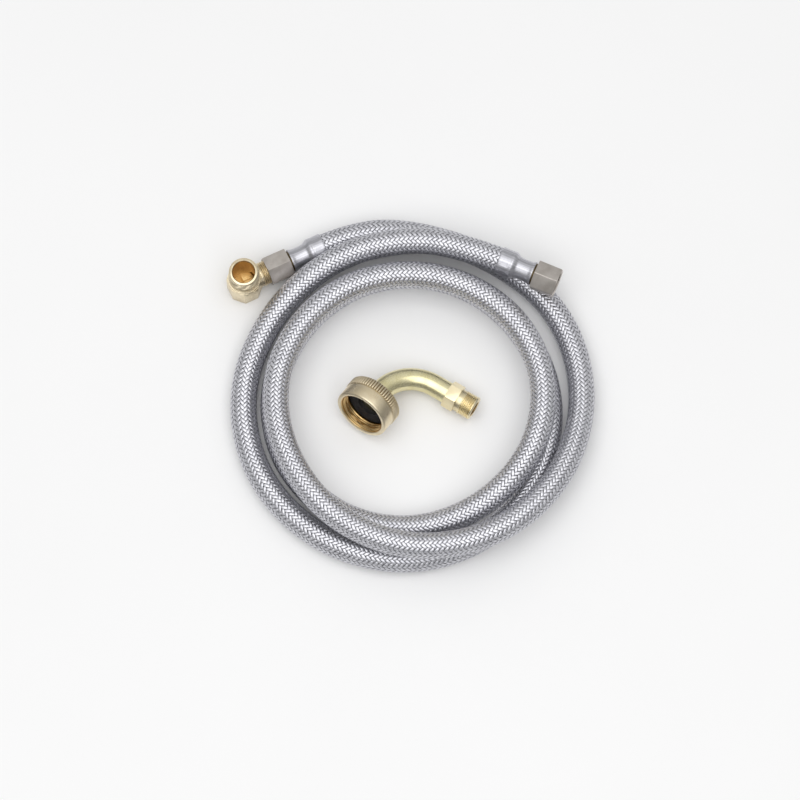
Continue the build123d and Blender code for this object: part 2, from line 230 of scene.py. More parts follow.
# Male end of the loose elbow. (radius, distance) from its tip, with the rest below zero.
MALE_TIP_CHAMFER = 0.0005  # how far the tip stands past the mount of its thread
MALE_NECK_END = -0.008
MALE_NECK_START = MALE_NECK_END - 0.0028
MALE_NECK_R = 0.0066
COLLAR_SIDES = 6
COLLAR_AF = 0.01429
COLLAR_START = MALE_NECK_START - 0.007
MALE_BORE_R = 0.0046
TUBE_R = 0.00635
TUBE_END = MALE_NECK_START - 0.002
MALE_NECK = [(MALE_NECK_R, MALE_NECK_START - PAST / 2), (MALE_NECK_R, MALE_NECK_END)]
MALE_THREAD_SPAN = (MALE_NECK_END + 0.0002, -0.0009)
MALE_TIP = [(LEG_R - 0.0001, -0.0006), (LEG_R - 0.0005, -0.0001), (LEG_R - 0.0007, 0)]
MALE_BORE = [(TUBE_R, COLLAR_START - PAST), (TUBE_R, TUBE_END), (MALE_BORE_R, TUBE_END),
             (MALE_BORE_R, -0.0003), (MALE_BORE_R + 0.0003, 0), (MALE_BORE_R + 0.0003, PAST)]

# Marks that the materials read
BORE_SLACK = 0.0001  # how far past a bore's radius its vertices may lie
HOLLOW_SLACK = 0.00005  # how far past its crest or root radius a thread's vertices may lie
LEG_THREAD_SHADE = 0.6  # how dark its hollows are, as a share of the darkest
MALE_THREAD_SHADE = 0.3

# Colours shared by several materials
UNCHANGED = (1, 1, 1)
# painted shade for concave crevices and corners, found by pointiness
PAINTED_CREVICE_SHADE = (0.4, 0.38, 0.34)
# painted shade in the grooves of threads and knurls
PAINTED_HOLLOW_SHADE = (0.42, 0.33, 0.22)
# painted shade: bores darker and more orange
PAINTED_BORE_SHADE = (0.60, 0.41, 0.18)

# Sockets of a Mix node that mixes colours
MIX_SHARE = 0
MIX_FIRST = 6
MIX_SECOND = 7
MIX_RESULT = 2

# Camera
CAMERA_ELEVATION = 75.0
CAMERA_DISTANCE = 3.0
CAMERA_LENS = 236.8
CAMERA_TARGET = (-0.00595, -0.0036, 0.01)

# Floor and light. The surround's brightness (second number) depends on how far a direction leans (first)
# towards its bright side.
FLOOR_REACH = 6.0
FLOOR_GAP = 0.00005
LAMP_PLACE = (-0.1, -0.5, 2.1)
LAMP_SIZE = 2.6
LAMP_POWER = 27
SURROUND_TOWARD = (0.0, 0.25, 0.97)
SURROUND_DARK = (0.0, 0.16)
SURROUND_BRIGHT = (0.9, 0.8)


# ---------------------------------------------------------------- places

def heading(degrees):
    """Level direction at an angle from X."""
    return Vector((math.cos(math.radians(degrees)), math.sin(math.radians(degrees)), 0))


def from_coil(x, y, z):
    return Vector((COIL_CENTRE[0] + x, COIL_CENTRE[1] + y, z))


def hose_route():
    """Points of the hose, from its cut end in the left fitting to that in the right one."""
    left = from_coil(*LEFT_CUT)
    right = from_coil(*RIGHT_CUT)
    points = [left, left - heading(LEFT_HEADING) * LEFT_LEAD]
    for i, (radius, height) in enumerate(TURN_1 + TURN_2 + TURN_3 + TURN_4):
        angle = math.radians(90 - STATION_STEP * i)
        points.append(from_coil(radius * math.cos(angle), radius * math.sin(angle), height))
    points += [right - heading(RIGHT_HEADING) * RIGHT_LEAD, right]
    return points


def fitting_axes(origin, axis, up=Vector((0, 0, 1))):
    """Places a part built along Z: Z goes to axis, and X as near up as it can."""
    z = Vector(axis).normalized()
    x = (up - z * up.dot(z)).normalized()
    return Matrix.Translation(Vector(origin)) @ Matrix((x, z.cross(x), z)).transposed().to_4x4()


def mount_place(name):
    """Position, axis and length of one of the record's mounts."""
    mount = next(m for m in frame["record"]["mounts"] if m["name"] == name)
    return Vector(mount["pos_m"]), Vector(mount["axis"]), mount["dims"]["length_mm"] / 1000


def curve_points(route):
    """Centreline of the hose: the smooth curve that has the route as its control points."""
    curve = bpy.data.curves.new("route", "CURVE")
    curve.dimensions = "3D"
    curve.resolution_u = ROUTE_RESOLUTION
    spline = curve.splines.new("NURBS")
    spline.points.add(len(route) - 1)
    for knot, point in zip(spline.points, route):
        knot.co = (*point, 1)
    spline.order_u = 3
    spline.use_endpoint_u = True
    holder = bpy.data.objects.new("route", curve)
    mesh = bpy.data.meshes.new_from_object(holder)
    points = np.array([vertex.co for vertex in mesh.vertices], float)
    bpy.data.objects.remove(holder)
    bpy.data.meshes.remove(mesh)
    return points


class Line:
    """A centreline: its points, distance along it, and directions carried along it without twist."""

    def __init__(self, points):
        self.points = points
        steps = np.linalg.norm(np.diff(points, axis=0), axis=1)
        self.distance = np.concatenate([[0], np.cumsum(steps)])
        tangents = np.gradient(points, axis=0)
        self.tangents = tangents / np.linalg.norm(tangents, axis=1)[:, None]
        normal = np.cross(self.tangents[0], (0, 0, 1))
        normals = []
        for tangent in self.tangents:
            normal = normal - tangent * normal.dot(tangent)
            normal = normal / np.linalg.norm(normal)
            normals.append(normal)
        self.normals = np.array(normals)
        self.binormals = np.cross(self.tangents, self.normals)

    def outward(self, angle):
        """Direction away from the centreline, at an angle round it."""
        return self.normals * np.cos(angle)[:, None] + self.binormals * np.sin(angle)[:, None]


# ---------------------------------------------------------------- meshes

def new_piece(name, vertices, faces, sharp_angle=SHARP_ANGLE):
    mesh = bpy.data.meshes.new(name)
    mesh.from_pydata(vertices, [], faces)
    mesh.validate()
    piece = bpy.data.objects.new(name, mesh)
    bpy.context.scene.collection.objects.link(piece)
    shade(piece, sharp_angle)
    return piece


def shade(piece, sharp_angle):
    """Smooth shading with sharp edges where faces meet at more than an angle."""
    mesh = piece.data
    mesh.polygons.foreach_set("use_smooth", [True] * len(mesh.polygons))
    mesh.set_sharp_from_angle(angle=math.radians(sharp_angle))


def outward_normals(piece):
    """Turns every face outward."""
    mesh = bmesh.new()
    mesh.from_mesh(piece.data)
    bmesh.ops.recalc_face_normals(mesh, faces=mesh.faces)
    mesh.to_mesh(piece.data)
    mesh.free()


def apply_modifiers(piece):
    depsgraph = bpy.context.evaluated_depsgraph_get()
    old = piece.data
    mesh = bpy.data.meshes.new_from_object(piece.evaluated_get(depsgraph))
    piece.modifiers.clear()
    piece.data = mesh
    bpy.data.meshes.remove(old)


def carve(piece, tool, operation):
    """Joins, cuts or keeps what a tool shares with a piece, and removes the tool."""
    cut = piece.modifiers.new("carve", "BOOLEAN")
    cut.operation = operation
    cut.solver = "EXACT"
    cut.object = tool
    apply_modifiers(piece)
    bpy.data.objects.remove(tool)
    shade(piece, SHARP_ANGLE)


# ---------------------------------------------------------------- rings: (radius at each corner, height)

def rings(outline, corners):
    """Round rings of an outline of (radius, height) points."""
    return [(np.full(corners, radius), height) for radius, height in outline]


def thread_rings(radius, span, thread, corners):
    """Rings of a helical thread that reaches inward from a radius, fading out at both ends."""
    start, end = span
    pitch, depth = thread
    turn = np.arange(corners) / corners
    flank = 1 - THREAD_OUTER_FLAT - THREAD_INNER_FLAT
    made = []
    for height in np.linspace(start, end, round(abs(end - start) / pitch * THREAD_STEPS)):
        fade = min(1, abs(height - start) / pitch * THREAD_FADE, abs(end - height) / pitch * THREAD_FADE)
        from_inner = np.abs(2 * ((height / pitch - turn) % 1) - 1)
        share = np.clip((1 - THREAD_OUTER_FLAT - from_inner) / flank, 0, 1)
        made.append((radius - depth * fade * share, height))
    return made


def crimp_rings(radius, corners):
    """Rings of the ferrule's crimped band: pressed flats, fading in and out."""
    start, end = CRIMP_BAND
    from_middle = (np.arange(corners) / corners * CRIMP_FLATS) % 1 - 0.5
    flat = np.minimum(radius, CRIMP_R / np.cos(from_middle * 2 * math.pi / CRIMP_FLATS))
    made = []
    for height in np.linspace(start, end, CRIMP_RINGS):
        fade = min(1, (height - start) / CRIMP_FADE, (end - height) / CRIMP_FADE)
        made.append((radius - fade * (radius - flat), height))
    return made


def knurl_rings(corners):
    """Rings of the nut's straight knurl, with a small cone at each end."""
    start, end = KNURL_SPAN
    rear_length, rear_depth = KNURL_REAR_CONE
    front_length, front_depth = KNURL_FRONT_CONE
    phase = (np.arange(corners) / corners * KNURL_TEETH) % 1
    groove = np.clip((np.abs(2 * phase - 1) - KNURL_RIDGE) / (1 - KNURL_RIDGE), 0, 1)
    toothed = SWIVEL_R - KNURL_DEPTH * groove
    cones = [(SWIVEL_R - rear_depth, start), (SWIVEL_R, start + rear_length), (SWIVEL_R, end - front_length),
             (SWIVEL_R - front_depth, end)]
    return [(np.minimum(toothed, radius), height) for radius, height in cones]


# ---------------------------------------------------------------- solids of rings

def ring_faces(ring_count, corners, first=0):
    """Quads of a tube of rings, each with the same number of corners."""
    ring, corner = np.meshgrid(np.arange(ring_count - 1), np.arange(corners), indexing="ij")
    here = first + ring * corners
    after = (corner + 1) % corners
    quads = np.stack([here + corner, here + after, here + corners + after, here + corners + corner], -1)
    return quads.reshape(-1, 4)


def end_discs(ring_count, corners, first=0):
    """Faces that close both ends of a tube of rings."""
    start = list(range(first, first + corners))
    last = (ring_count - 1) * corners
    return [start[::-1], [corner + last for corner in start]]


def turned(name, stack, closing, place, sharp_angle):
    """Solid about Z from rings and the faces that close it."""
    corners = len(stack[0][0])
    angles = np.arange(corners) / corners * 2 * math.pi
    vertices = []
    for radii, height in stack:
        ring = [radii * np.cos(angles), radii * np.sin(angles), np.full(corners, height)]
        vertices.append(np.stack(ring, 1))
    faces = ring_faces(len(stack), corners).tolist() + closing
    piece = new_piece(name, np.concatenate(vertices).tolist(), faces, sharp_angle)
    piece.data.transform(place)
    outward_normals(piece)
    return piece


def turned_sleeve(name, loop, place, sharp_angle):
    """Solid about Z from a closed loop of rings, open through its middle."""
    corners = len(loop[0][0])
    last = (len(loop) - 1) * corners
    closing = []
    for corner in range(corners):
        after = (corner + 1) % corners
        closing.append([last + corner, last + after, after, corner])
    return turned(name, loop, closing, place, sharp_angle)


def turned_bar(name, stack, place=UNMOVED):
    """Solid about Z from a stack of rings, closed by a disc at each end."""
    return turned(name, stack, end_discs(len(stack), len(stack[0][0])), place, SHARP_ANGLE)


def prism(name, across_flats, sides, start, end, turn, place=UNMOVED, top=None):
    """Bar of regular polygon section along Z, with its corners cut back to cones and its edges eased."""
    corner_r = across_flats / 2 / math.cos(math.pi / sides)
    first = math.radians(180 / sides + turn)
    angles = [first + 2 * math.pi * side / sides for side in range(sides)]
    vertices = [(corner_r * math.cos(a), corner_r * math.sin(a), z) for z in (start, end) for a in angles]
    bar = new_piece(name, vertices, ring_faces(2, sides).tolist() + end_discs(2, sides))
    slope = CORNER_CUT * CORNER_SLOPE
    cone = [(corner_r - CORNER_CUT, start), (corner_r, start + slope)]
    cone += top or [(corner_r, end - slope), (corner_r - CORNER_CUT, end)]
    carve(bar, turned_bar("cone", rings(cone, CONE_CORNERS)), "INTERSECT")
    bevel = bar.modifiers.new("edges", "BEVEL")
    bevel.width = EDGE
    bevel.segments = EDGE_SEGMENTS
    bevel.limit_method = "ANGLE"
    bevel.angle_limit = math.radians(EDGE_ANGLE)
    apply_modifiers(bar)
    bar.data.transform(place)
    return bar


# ---------------------------------------------------------------- marks that materials read

def mark(piece, name, values):
    """Stores a number at each vertex."""
    attribute = piece.data.attributes.new(name, "FLOAT", "POINT")
    attribute.data.foreach_set("value", np.asarray(values, np.float32))


def mark_round(piece, name, place, value_at):
    """Raises a vertex's number to what value_at says for its distance from an axis and along it."""
    back = place.inverted()
    attribute = piece.data.attributes.get(name) or piece.data.attributes.new(name, "FLOAT", "POINT")
    for number, vertex in zip(attribute.data, piece.data.vertices):
        local = back @ vertex.co
        number.value = max(number.value, value_at(math.hypot(local.x, local.y), local.z))


def mark_inside(piece, place, bore_r):
    """Marks the vertices of a bore, where the brass materials paint shade."""
    mark_round(piece, "inside", place, lambda radius, height: float(radius < bore_r + BORE_SLACK))


def mark_hollow(piece, place, crest, root, span, most=1.0):
    """Marks how deep a thread's or knurl's vertices lie (0 at its crest radius, most at its root), for
    painted shade.
    """
    start, end = span
    low = min(crest, root) - HOLLOW_SLACK
    high = max(crest, root) + HOLLOW_SLACK

    def depth_at(radius, height):
        if start <= height <= end and low <= radius <= high:
            return most * min(1, max(0, (radius - crest) / (root - crest)))
        return 0.0

    mark_round(piece, "hollow", place, depth_at)


# ---------------------------------------------------------------- hose

def strand_rings(line, start, hand):
    """One strand all along the hose: its corners (edge, two on its crown, edge, underside) and its lift."""
    twist = 2 * math.pi / (STRANDS * LOZENGE)
    angle = start + hand * twist * line.distance
    rise = np.tanh(WEAVE_FLATNESS * np.cos(STRANDS * angle / 2 - math.pi / 4)) / math.tanh(WEAVE_FLATNESS)
    out = line.outward(angle)
    around = np.cross(line.tangents, out)
    lead = math.atan(WEAVE_R * twist)
    way = line.tangents * math.cos(lead) + around * hand * math.sin(lead)
    side = np.cross(out, way) * STRAND_WIDTH / 2
    centre = line.points + out * (WEAVE_R + hand * rise * WEAVE_RISE)[:, None]
    lifts = [0, STRAND_CROWN, STRAND_CROWN, 0, -STRAND_UNDERSIDE]
    corners = [centre + out * lift + side * across for lift, across in zip(lifts, STRAND_ACROSS)]
    return np.stack(corners, 1), (hand * rise + 1) / 2


def make_braid(line):
    """The woven sleeve: strands each way round that pass over two and under two."""
    pieces = []
    ring_count = len(line.points)
    section = len(STRAND_ACROSS)
    for hand, hand_name in ((1, "right"), (-1, "left")):
        for part in range(BRAID_PIECES):
            corners, faces, lift = [], [], []
            for index in range(part, STRANDS, BRAID_PIECES):
                first = len(corners) * ring_count * section
                strand, height = strand_rings(line, 2 * math.pi * index / STRANDS, hand)
                corners.append(strand.reshape(-1, 3))
                lift.append(np.repeat(height, section))
                faces += ring_faces(ring_count, section, first).tolist()
                faces += end_discs(ring_count, section, first)
            vertices = np.concatenate(corners).tolist()
            piece = new_piece(f"braid_{hand_name}_hand_{part + 1}", vertices, faces, ALL_SMOOTH)
            # lift: the braid's material paints shade where a strand dives under
            mark(piece, "lift", np.concatenate(lift))
            # across: place over a strand's width; the material paints shade at its edges and bumps its wires
            mark(piece, "across", np.tile(STRAND_ACROSS, len(lift) * ring_count))
            pieces.append(piece)
    return pieces


def make_liner(line):
    """The hose's inner tube, outside and bore."""
    angles = np.linspace(0, 2 * math.pi, LINER_CORNERS, endpoint=False)
    every = np.arange(0, len(line.points), LINER_STEP)
    walls = []
    for radius in (LINER_R, LINER_BORE_R):
        around = [line.outward(np.full(len(line.points), angle))[every] * radius for angle in angles]
        walls.append(line.points[every][:, None] + np.stack(around, 1))
    bore_first = len(every) * LINER_CORNERS
    outside = ring_faces(len(every), LINER_CORNERS)
    bore = ring_faces(len(every), LINER_CORNERS, bore_first)[:, ::-1]
    corner = np.arange(LINER_CORNERS)
    after = (corner + 1) % LINER_CORNERS
    last = bore_first - LINER_CORNERS
    ends = []
    for outer, inner, flip in ((0, bore_first, 1), (last, bore_first + last, -1)):
        quads = np.stack([outer + after, outer + corner, inner + corner, inner + after], -1)
        ends.append(quads[:, ::flip])
    vertices = np.concatenate([wall.reshape(-1, 3) for wall in walls])
    return new_piece("inner_tube", vertices.tolist(), np.concatenate([outside, bore, *ends]).tolist())


# ---------------------------------------------------------------- fittings

def make_ferrule(name, place):
    """Stepped crimp ferrule with a flared lip at the nut."""
    throat = [FERRULE_SHOULDER[-1], FERRULE_NECK, FERRULE_LIP[0]]
    bend = np.polyfit([at for radius, at in throat], [radius for radius, at in throat], 2)
    between = np.linspace(throat[0][1], throat[-1][1], FERRULE_NECK_RINGS)[1:-1]
    neck = [(np.polyval(bend, at), at) for at in between]
    loop = rings(FERRULE_OUTSIDE, TURNED_CORNERS)
    loop += crimp_rings(FERRULE_OUTSIDE[-1][0], TURNED_CORNERS)
    loop += rings(FERRULE_SHOULDER + neck + FERRULE_LIP + FERRULE_INSIDE, TURNED_CORNERS)
    ferrule = turned_sleeve(name, loop, place, FERRULE_SHARP_ANGLE)
    streaks = np.random.RandomState(STREAK_SEED).rand(TURNED_CORNERS)
    mark(ferrule, "streak", np.tile(streaks, len(loop)))
    return ferrule


def make_hex_nut(name, turn, place, threaded):
    """Compression nut: hexagon with a bore that steps up to its thread."""
    nut = prism(name, NUT_AF, NUT_SIDES, NUT_BACK, NUT_FRONT, turn)
    bore = rings(NUT_HOLE, NUT_BORE_CORNERS)
    if threaded:
        thread_span = (NUT_THREAD_START, NUT_MOUTH[0][1])
        bore += thread_rings(NUT_THREAD_R, thread_span, COMPRESSION_THREAD, NUT_BORE_CORNERS)
    else:
        bore += rings([(NUT_THREAD_R, NUT_THREAD_START)], NUT_BORE_CORNERS)
    bore += rings(NUT_MOUTH, NUT_BORE_CORNERS)
    carve(nut, turned_bar("bore", bore), "DIFFERENCE")
    nut.data.transform(place)
    return nut


def make_pipe_elbow(name):
    """Brass elbow: octagonal body, threaded pipe port up, threaded leg into the left nut."""
    port = mount_place("pipe_thread_port")
    foot = Vector((port[0].x, port[0].y, 0))
    to_leg = -heading(LEFT_HEADING)
    upright = fitting_axes(foot, (0, 0, 1), to_leg)
    along = fitting_axes(foot + Vector((0, 0, ELBOW_AXIS_HEIGHT)), to_leg)
    elbow = prism(name, ELBOW_AF, ELBOW_SIDES, 0, ELBOW_BODY_TOP, 0, upright, ELBOW_TOP_CONE)
    pipe = rings(PIPE_FOOT, TURNED_CORNERS)
    pipe += thread_rings(PIPE_R, PIPE_THREAD_SPAN, PIPE_THREAD, TURNED_CORNERS)
    pipe += rings(PIPE_TIP, TURNED_CORNERS)
    carve(elbow, turned_bar("pipe", pipe, upright), "UNION")
    leg = rings(LEG_NECK, TURNED_CORNERS)
    leg += thread_rings(LEG_R, LEG_THREAD_SPAN, COMPRESSION_THREAD, TURNED_CORNERS)
    leg += rings(LEG_TIP, TURNED_CORNERS)
    carve(elbow, turned_bar("leg", leg, along), "UNION")
    carve(elbow, turned_bar("bore", rings(PIPE_BORE, TURNED_CORNERS), upright), "DIFFERENCE")
    carve(elbow, turned_bar("waterway", rings(LEG_BORE, TURNED_CORNERS), along), "DIFFERENCE")
    mark_inside(elbow, upright, PIPE_BORE_R)
    mark_inside(elbow, along, SOCKET_R)
    mark_hollow(elbow, along, LEG_R, LEG_R - COMPRESSION_THREAD[1], (LEG_START, LEG_END), LEG_THREAD_SHADE)
    mark_hollow(elbow, upright, PIPE_R, PIPE_R - PIPE_THREAD[1], (SHOULDER_TOP, PIPE_TIP[0][1]))
    return elbow


def make_swivel_nut(name, place):
    """Garden-hose nut: knurled rear band, plain front band and a coarse thread inside."""
    corners = KNURL_TEETH * TOOTH_CORNERS
    loop = rings(SWIVEL_REAR, corners) + knurl_rings(corners) + rings(SWIVEL_BAND + SWIVEL_LIP, corners)
    loop += thread_rings(SWIVEL_THREAD_R, SWIVEL_THREAD_SPAN, GARDEN_THREAD, corners)
    loop += rings(SWIVEL_INSIDE, corners)
    nut = turned_sleeve(name, loop, place, SWIVEL_SHARP_ANGLE)
    mark_inside(nut, place, SWIVEL_GROOVE_R)
    mark_hollow(nut, place, SWIVEL_R, SWIVEL_R - KNURL_DEPTH, KNURL_SPAN)
    mark_hollow(nut, place, SWIVEL_THREAD_R - GARDEN_THREAD[1], SWIVEL_THREAD_R, SWIVEL_THREAD_SHADE_SPAN)
    return nut


def make_male_end(name, place):
    """Hexagon collar with a neck and a compression thread, hollow."""
    end = prism(name, COLLAR_AF, COLLAR_SIDES, COLLAR_START, MALE_NECK_START, 0)
    stem = rings(MALE_NECK, TURNED_CORNERS)
    stem += thread_rings(LEG_R, MALE_THREAD_SPAN, COMPRESSION_THREAD, TURNED_CORNERS)
    stem += rings(MALE_TIP, TURNED_CORNERS)
    carve(end, turned_bar("stem", stem), "UNION")
    carve(end, turned_bar("bore", rings(MALE_BORE, TURNED_CORNERS)), "DIFFERENCE")
    end.data.transform(place)
    mark_inside(end, place, MALE_BORE_R)
    thread_span = (MALE_NECK_END, MALE_TIP[0][1])
    mark_hollow(end, place, LEG_R, LEG_R - COMPRESSION_THREAD[1], thread_span, MALE_THREAD_SHADE)
    return end


# ---------------------------------------------------------------- materials

class Finish:
    """A material's node tree, with short calls for the nodes that the finishes share."""

    def __init__(self, name, colour, metallic, roughness):
        self.material = bpy.data.materials.new(name)
        self.material.use_nodes = True
        self.tree = self.material.node_tree
        self.shader = self.tree.nodes["Principled BSDF"]
        self.shader.inputs["Base Color"].default_value = (*colour, 1)
        self.shader.inputs["Metallic"].default_value = metallic
        self.shader.inputs["Roughness"].default_value = roughness

    def node(self, kind, **inputs):
        made = self.tree.nodes.new(kind)
        for name, value in inputs.items():
            made.inputs[name.replace("_", " ")].default_value = value
        return made

    def link(self, source, target):
        self.tree.links.new(source, target)

    def noise(self, scale, detail=4.0):
        """Noise fixed to the piece, whose features are about 1 / scale metres across."""
        texture = self.node("ShaderNodeTexNoise", Scale=scale, Detail=detail, Roughness=0.6)
        self.link(self.node("ShaderNodeTexCoord").outputs["Object"], texture.inputs["Vector"])
        return texture.outputs["Fac"]

    def attribute(self, name):
        """A number that the mesh holds at each vertex."""
        made = self.node("ShaderNodeAttribute")
        made.attribute_name = name
        return made.outputs["Fac"]

    def maths(self, operation, source, second=None):
        made = self.node("ShaderNodeMath")
        made.operation = operation
        self.link(source, made.inputs[0])
        if second is not None:
            made.inputs[1].default_value = second
        return made.outputs[0]

    def ramp(self, source, low, high, start, end):
        """Blends two colours as the source goes from start to end."""
        ramp = self.node("ShaderNodeValToRGB")
        ramp.color_ramp.elements[0].position = start
        ramp.color_ramp.elements[1].position = end
        ramp.color_ramp.elements[0].color = (*low, 1)
        ramp.color_ramp.elements[1].color = (*high, 1)
        self.link(source, ramp.inputs["Fac"])
        return ramp.outputs["Color"]

    def multiply(self, first, second):
        blend = self.node("ShaderNodeMix")
        blend.data_type = "RGBA"
        blend.blend_type = "MULTIPLY"
        blend.inputs[MIX_SHARE].default_value = 1.0
        self.link(first, blend.inputs[MIX_FIRST])
        self.link(second, blend.inputs[MIX_SECOND])
        return blend.outputs[MIX_RESULT]

    def mix(self, share, colour, other):
        """Goes from one colour to a plain other one."""
        blend = self.node("ShaderNodeMix")
        blend.data_type = "RGBA"
        self.link(share, blend.inputs[MIX_SHARE])
        self.link(colour, blend.inputs[MIX_FIRST])
        blend.inputs[MIX_SECOND].default_value = (*other, 1)
        return blend.outputs[MIX_RESULT]

    def paint(self, colour):
        self.link(colour, self.shader.inputs["Base Color"])

    def roughen(self, source, low, high):
        """Roughness from low to high as the source goes from 0.3 to 0.7."""
        span = self.node("ShaderNodeMapRange", From_Min=0.3, From_Max=0.7, To_Min=low, To_Max=high)
        self.link(source, span.inputs["Value"])
        self.link(span.outputs["Result"], self.shader.inputs["Roughness"])

    def bump(self, source, distance, strength):
        """Adds a bump on top of the bumps that are already there."""
        bump = self.node("ShaderNodeBump", Strength=strength, Distance=distance)
        self.link(source, bump.inputs["Height"])
        earlier = self.shader.inputs["Normal"].links
        if earlier:
            self.link(earlier[0].from_socket, bump.inputs["Normal"])
        self.link(bump.outputs["Normal"], self.shader.inputs["Normal"])


def metal_with_painted_shade(name, dark, light, roughness, grain=2600.0, inside=None):
    """Satin metal: slow colour drift, fine grain, painted shade in each crevice, thread groove and bore."""
    finish = Finish(name, light, 1.0, roughness)
    drift = finish.ramp(finish.noise(scale=160.0), dark, light, start=0.35, end=0.62)
    shape = finish.node("ShaderNodeNewGeometry").outputs["Pointiness"]
    # painted shade: darker where the surface is concave
    crevice_shade = finish.ramp(shape, PAINTED_CREVICE_SHADE, UNCHANGED, start=0.38, end=0.47)
    # painted shade: darker the deeper a vertex lies in a thread or knurl groove
    hollow_shade = finish.ramp(finish.attribute("hollow"), UNCHANGED, PAINTED_HOLLOW_SHADE, start=0.2, end=1.0)
    colour = finish.multiply(finish.multiply(drift, crevice_shade), hollow_shade)
    # painted shade: bores take a darker orange
    if inside:
        colour = finish.mix(finish.attribute("inside"), colour, inside)
    finish.paint(colour)
    fine = finish.noise(grain, detail=3.0)
    finish.roughen(fine, roughness - 0.05, roughness + 0.08)
    finish.bump(fine, distance=0.00002, strength=0.3)
    finish.bump(finish.noise(scale=420.0), distance=0.00008, strength=0.1)
    return finish.material


def drawn_steel(name, dark, light, roughness):
    """Pressed steel sleeve, with soft streaks along it."""
    finish = Finish(name, light, 1.0, roughness)
    finish.paint(finish.ramp(finish.attribute("streak"), dark, light, start=0.1, end=0.8))
    finish.roughen(finish.noise(scale=1500.0), roughness - 0.06, roughness + 0.08)
    finish.bump(finish.noise(scale=900.0), distance=0.00004, strength=0.15)
    return finish.material


def braid_steel():
    """Stainless wire: each strand shows its wires, with painted shade at its edges and where it dives under.
    """
    finish = Finish("stainless_braid", (0.8, 0.8, 0.83), 1.0, 0.3)
    # painted shade: darker where a strand dives under the next two
    under_shade = finish.ramp(finish.attribute("lift"), (0.2, 0.2, 0.21), (0.76, 0.76, 0.80), start=0.35, end=0.75)
    drift = finish.ramp(finish.noise(scale=240.0), (0.84, 0.84, 0.85), UNCHANGED, start=0.35, end=0.65)
    across = finish.attribute("across")
    edge = finish.maths("ABSOLUTE", across)
    # painted shade along each strand's edges, in the gaps between strands
    rim_shade = finish.ramp(edge, UNCHANGED, (0.3, 0.3, 0.31), start=0.84, end=1.0)
    finish.paint(finish.multiply(finish.multiply(under_shade, drift), rim_shade))
    finish.roughen(finish.noise(scale=1800.0), 0.33, 0.45)
    round_wires = finish.maths("COSINE", finish.maths("MULTIPLY", across, STRAND_WIRES * math.pi))
    finish.bump(round_wires, distance=0.00003, strength=0.3)
    return finish.material


def rubber(name, colour, roughness):
    """Matt rubber, with paler patches and a fine grain."""
    finish = Finish(name, colour, 0.0, roughness)
    pale = tuple(channel * 1.7 for channel in colour)
    finish.paint(finish.ramp(finish.noise(scale=300.0), colour, pale, start=0.4, end=0.65))
    grain = finish.noise(scale=2200.0)
    finish.roughen(grain, roughness - 0.08, roughness + 0.08)
    finish.bump(grain, distance=0.00004, strength=0.5)
    return finish.material


def paper():
    """Matt pale floor."""
    finish = Finish("paper", (0.94, 0.94, 0.94), 0.0, 0.75)
    drift = finish.ramp(finish.noise(scale=3.0), (0.93, 0.93, 0.93), (0.95, 0.95, 0.95), start=0.3, end=0.7)
    finish.paint(drift)
    return finish.material


def coat(piece, material):
    """Gives a piece one material: in a CAD node's own slots, or as the only one of a new mesh."""
    if "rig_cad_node" in piece:
        for slot in piece.material_slots:
            slot.material = material
        return
    piece.data.materials.clear()
    piece.data.materials.append(material)


def finish_piece(piece, body, replaced, material):
    """Attaches a piece to the body it rides on, hides the CAD part that it replaces, and coats it."""
    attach(piece, body)
    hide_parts(replaced)
    coat(piece, material)
    return piece


# ---------------------------------------------------------------- stage

def make_camera():
    camera = bpy.data.objects.new("camera", bpy.data.cameras.new("camera"))
    bpy.context.scene.collection.objects.link(camera)
    elevation = math.radians(CAMERA_ELEVATION)
    back = Vector((0, -math.cos(elevation), math.sin(elevation)))
    camera.location = Vector(CAMERA_TARGET) + back * CAMERA_DISTANCE
    camera.rotation_mode = "QUATERNION"
    camera.rotation_quaternion = (-back).to_track_quat("-Z", "Y")
    camera.data.lens = CAMERA_LENS
    bpy.context.scene.camera = camera


def make_floor():
    """Plain pale floor, just under the lowest point of the CAD model."""
    corners = [(x * FLOOR_REACH, y * FLOOR_REACH, 0) for x, y in ((-1, -1), (1, -1), (1, 1), (-1, 1))]
    mesh = bpy.data.meshes.new("floor")
    mesh.from_pydata(corners, [], [(0, 1, 2, 3)])
    floor = bpy.data.objects.new("floor", mesh)
    bpy.context.scene.collection.objects.link(floor)
    floor.location.z = cad_box[0].z - FLOOR_GAP
    coat(floor, paper())


def make_lamp():
    """Large square lamp overhead, which faces what the camera looks at."""
    lamp = bpy.data.objects.new("overhead", bpy.data.lights.new("overhead", "AREA"))
    lamp.data.energy = LAMP_POWER
    lamp.data.size = LAMP_SIZE
    lamp.location = LAMP_PLACE
    lamp.rotation_mode = "QUATERNION"
    lamp.rotation_quaternion = (Vector(LAMP_PLACE) - Vector(CAMERA_TARGET)).to_track_quat("Z", "Y")
    bpy.context.scene.collection.objects.link(lamp)


def make_surround():
    """World that is bright above and dark at the horizon."""
    world = bpy.data.worlds.new("world")
    world.use_nodes = True
    sky = world.node_tree
    toward = sky.nodes.new("ShaderNodeVectorMath")
    toward.operation = "DOT_PRODUCT"
    toward.inputs[1].default_value = SURROUND_TOWARD
    brightness = sky.nodes.new("ShaderNodeValToRGB")
    for element, (lean, grey) in zip(brightness.color_ramp.elements, (SURROUND_DARK, SURROUND_BRIGHT)):
        element.position = lean
        element.color = (grey, grey, grey, 1)
    sky.links.new(sky.nodes.new("ShaderNodeTexCoord").outputs["Generated"], toward.inputs[0])
    sky.links.new(toward.outputs["Value"], brightness.inputs["Fac"])
    sky.links.new(brightness.outputs["Color"], sky.nodes["Background"].inputs["Color"])
    bpy.context.scene.world = world
    bpy.context.scene.view_settings.view_transform = "Standard"


# ---------------------------------------------------------------- build

route = hose_route()
hose = Line(curve_points(route))
nodes = frame["nodes"]

